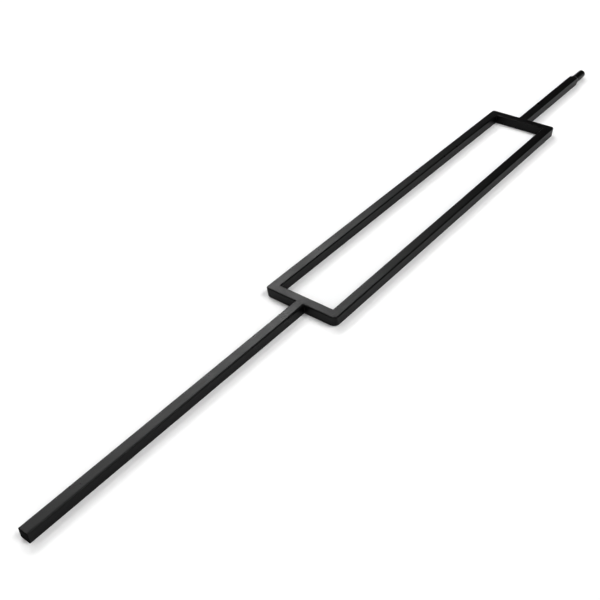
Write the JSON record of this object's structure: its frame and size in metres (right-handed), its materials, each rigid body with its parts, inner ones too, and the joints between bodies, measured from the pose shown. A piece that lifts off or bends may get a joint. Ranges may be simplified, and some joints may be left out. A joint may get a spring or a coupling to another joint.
{
  "type": "stair baluster",
  "caption": "Slim square-bar steel stair baluster with a long open rectangle, a sawn square lower end and a turned round pin at the top.",
  "frame": {"origin": "under the middle of the bounding box, on the plane that the back of the baluster lies on", "axes": "+X runs up the baluster from the sawn lower end to the pin, +Y runs across the rectangle to its left side, +Z points out of the front"},
  "size_m": [1.1176, 0.098, 0.0127],
  "materials": {
    "satin_black_coat": "satin black powder coat with fine orange peel on steel square bar",
    "coated_weld": "weld metal ground flush, under the same satin black powder coat"
  },
  "bodies": {
    "root": {"lower_bar": "satin_black_coat", "lower_rail": "satin_black_coat", "upper_rail": "satin_black_coat", "left_stile": "satin_black_coat", "right_stile": "satin_black_coat", "upper_bar": "satin_black_coat", "weld_lower_tee": "coated_weld", "weld_upper_tee": "coated_weld", "weld_lower_left": "coated_weld", "weld_lower_right": "coated_weld", "weld_upper_left": "coated_weld", "weld_upper_right": "coated_weld"}
  },
  "joints": []
}
